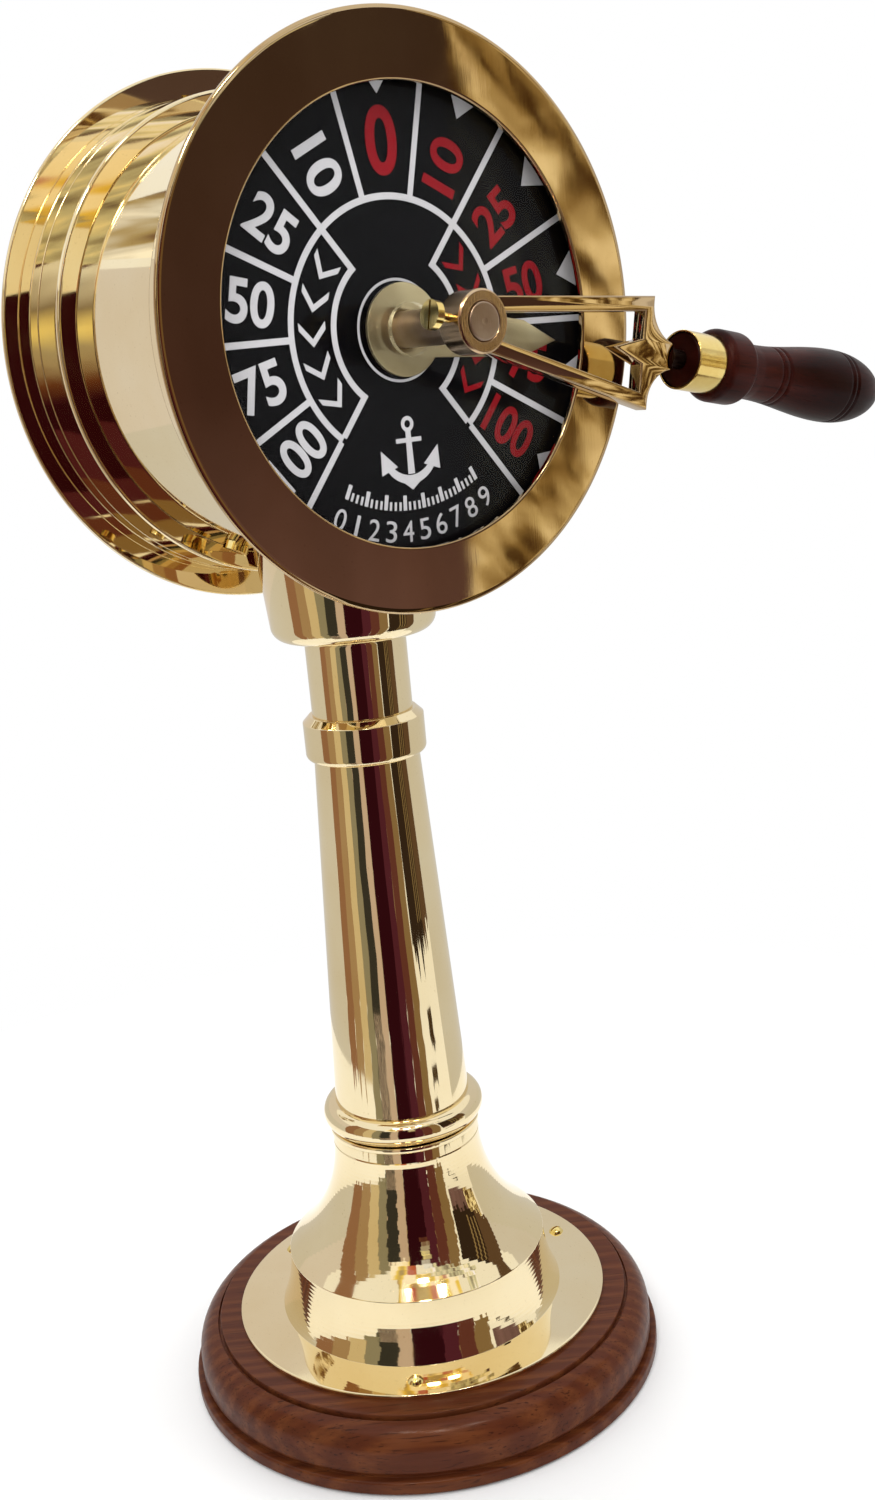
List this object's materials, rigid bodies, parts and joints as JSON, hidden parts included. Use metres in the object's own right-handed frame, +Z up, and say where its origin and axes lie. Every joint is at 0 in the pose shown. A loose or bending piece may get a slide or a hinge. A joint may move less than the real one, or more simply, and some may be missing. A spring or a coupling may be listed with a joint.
{
  "type": "engine order telegraph",
  "caption": "Ship's engine order telegraph: glazed round drum on a turned brass column and wooden base, with a forked lever and wooden grip that set a pointer behind the glass.",
  "frame": {"origin": "centre of the base's underside, on the axis of the column", "axes": "+Z up along the column, -Y out of the dial's face, +X to the right of someone facing the dial"},
  "size_m": [0.3513, 0.2271, 0.5986],
  "materials": {
    "polished_brass": "mirror polished",
    "bronzed_brass": "polished, bronze toned",
    "satin_brass": "satin",
    "base_wood": "glossy lacquer",
    "grip_wood": "dark glossy lacquer",
    "clear_glass": "clear",
    "black_dial": "satin enamel",
    "plain_steel": "turned",
    "black_rubber": "matte",
    "green_felt": "felt"
  },
  "bodies": {
    "stand": {"base_felt": "green_felt", "wooden_base": "base_wood", "pedestal_foot": "polished_brass", "flange_screws": "polished_brass", "ring_moulding": "polished_brass", "column_shaft": "polished_brass", "collar_band": "polished_brass", "neck_tube": "polished_brass", "saddle": "polished_brass", "tie_rod": "plain_steel", "tie_nuts": "plain_steel", "tie_washers": "plain_steel", "drum_shell": "polished_brass", "clamp_plate": "satin_brass", "clamp_screws": "polished_brass", "front_case_ring": "polished_brass", "rear_case_ring": "polished_brass", "front_case_screws": "polished_brass", "rear_case_screws": "polished_brass", "front_bezel": "bronzed_brass", "rear_bezel": "polished_brass", "glass": "clear_glass", "glass_gasket": "black_rubber", "glass_spacer": "satin_brass", "dial_plate": "black_dial", "front_bearing_plate": "satin_brass", "rear_bearing_plate": "satin_brass", "front_bush": "bronzed_brass", "rear_bush": "bronzed_brass", "stay_posts": "plain_steel", "stop_pins": "plain_steel", "front_post_screws": "plain_steel", "rear_post_screws": "plain_steel", "rear_spacer": "satin_brass", "rear_cover": "polished_brass"},
    "lever": {"main_shaft": "bronzed_brass", "pointer": "satin_brass", "pointer_boss": "satin_brass", "shaft_collar": "plain_steel", "collar_screw": "plain_steel", "friction_washer": "plain_steel", "thrust_washer": "plain_steel", "end_nut": "plain_steel", "yoke": "bronzed_brass", "lever_screw": "polished_brass", "tang_rod": "plain_steel", "ferrule": "polished_brass", "grip": "grip_wood"}
  },
  "joints": [
    {"name": "lever_turn", "type": "hinge", "parent": "stand", "child": "lever", "pos_m": [0, 0, 0.48043], "axis": [0, 1, 0], "range_deg": [-230.3, 27.7]}
  ]
}
